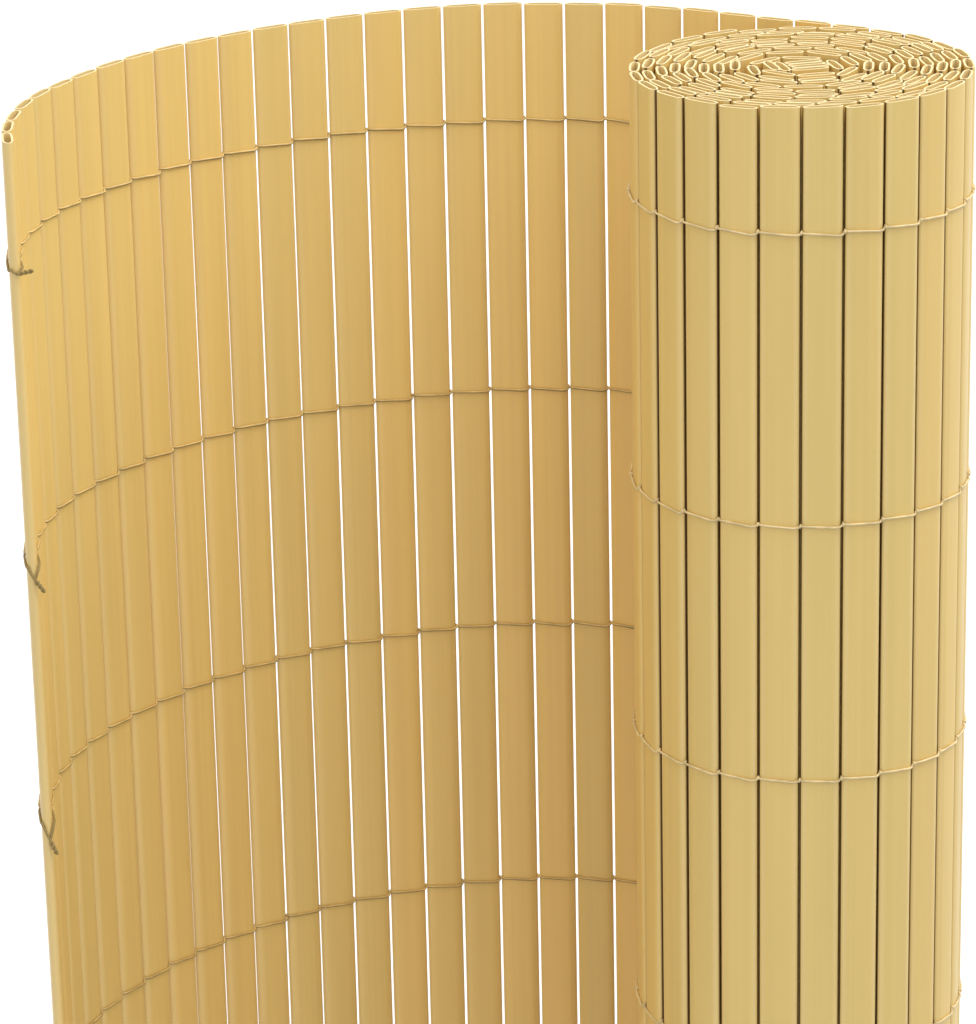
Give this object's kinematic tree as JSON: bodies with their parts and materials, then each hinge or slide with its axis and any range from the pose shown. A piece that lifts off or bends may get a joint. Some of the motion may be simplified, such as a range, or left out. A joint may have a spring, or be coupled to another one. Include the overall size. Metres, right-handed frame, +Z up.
{
  "type": "pvc screening fence",
  "caption": "Roll-up screening mat of hollow flat-oval PVC slats tied side by side with rows of wire, standing partly unrolled, for covering fences, railings and balconies.",
  "frame": {"origin": "on the ground, under the middle of the mat's plan box", "axes": "+Z up along the slats, +X to the right seen from the mat's hollow side, -Y towards that side, where the free end stands"},
  "size_m": [0.4004, 0.2272, 1],
  "materials": {
    "slat_pvc": "satin extruded bamboo-coloured PVC",
    "tie_wire": "thin steel wire with a beige plastic coat"
  },
  "bodies": {
    "root": {"roll": "slat_pvc", "slat_01": "slat_pvc", "slat_02": "slat_pvc", "slat_03": "slat_pvc", "slat_04": "slat_pvc", "slat_05": "slat_pvc", "slat_06": "slat_pvc", "slat_07": "slat_pvc", "slat_08": "slat_pvc", "slat_09": "slat_pvc", "slat_10": "slat_pvc", "slat_11": "slat_pvc", "slat_12": "slat_pvc", "slat_13": "slat_pvc", "slat_14": "slat_pvc", "slat_15": "slat_pvc", "slat_16": "slat_pvc", "slat_17": "slat_pvc", "slat_18": "slat_pvc", "slat_19": "slat_pvc", "slat_20": "slat_pvc", "slat_21": "slat_pvc", "slat_22": "slat_pvc", "slat_23": "slat_pvc", "slat_24": "slat_pvc", "slat_25": "slat_pvc", "slat_26": "slat_pvc", "slat_27": "slat_pvc", "slat_28": "slat_pvc", "tie_wire_back_1": "tie_wire", "tie_wire_back_2": "tie_wire", "tie_wire_back_3": "tie_wire", "tie_wire_back_4": "tie_wire", "tie_wire_back_5": "tie_wire", "tie_wire_back_6": "tie_wire", "tie_wire_back_7": "tie_wire", "tie_wire_back_8": "tie_wire", "tie_wire_front_1": "tie_wire", "tie_wire_front_2": "tie_wire", "tie_wire_front_3": "tie_wire", "tie_wire_front_4": "tie_wire", "tie_wire_front_5": "tie_wire", "tie_wire_front_6": "tie_wire", "tie_wire_front_7": "tie_wire", "tie_wire_front_8": "tie_wire"}
  },
  "joints": []
}
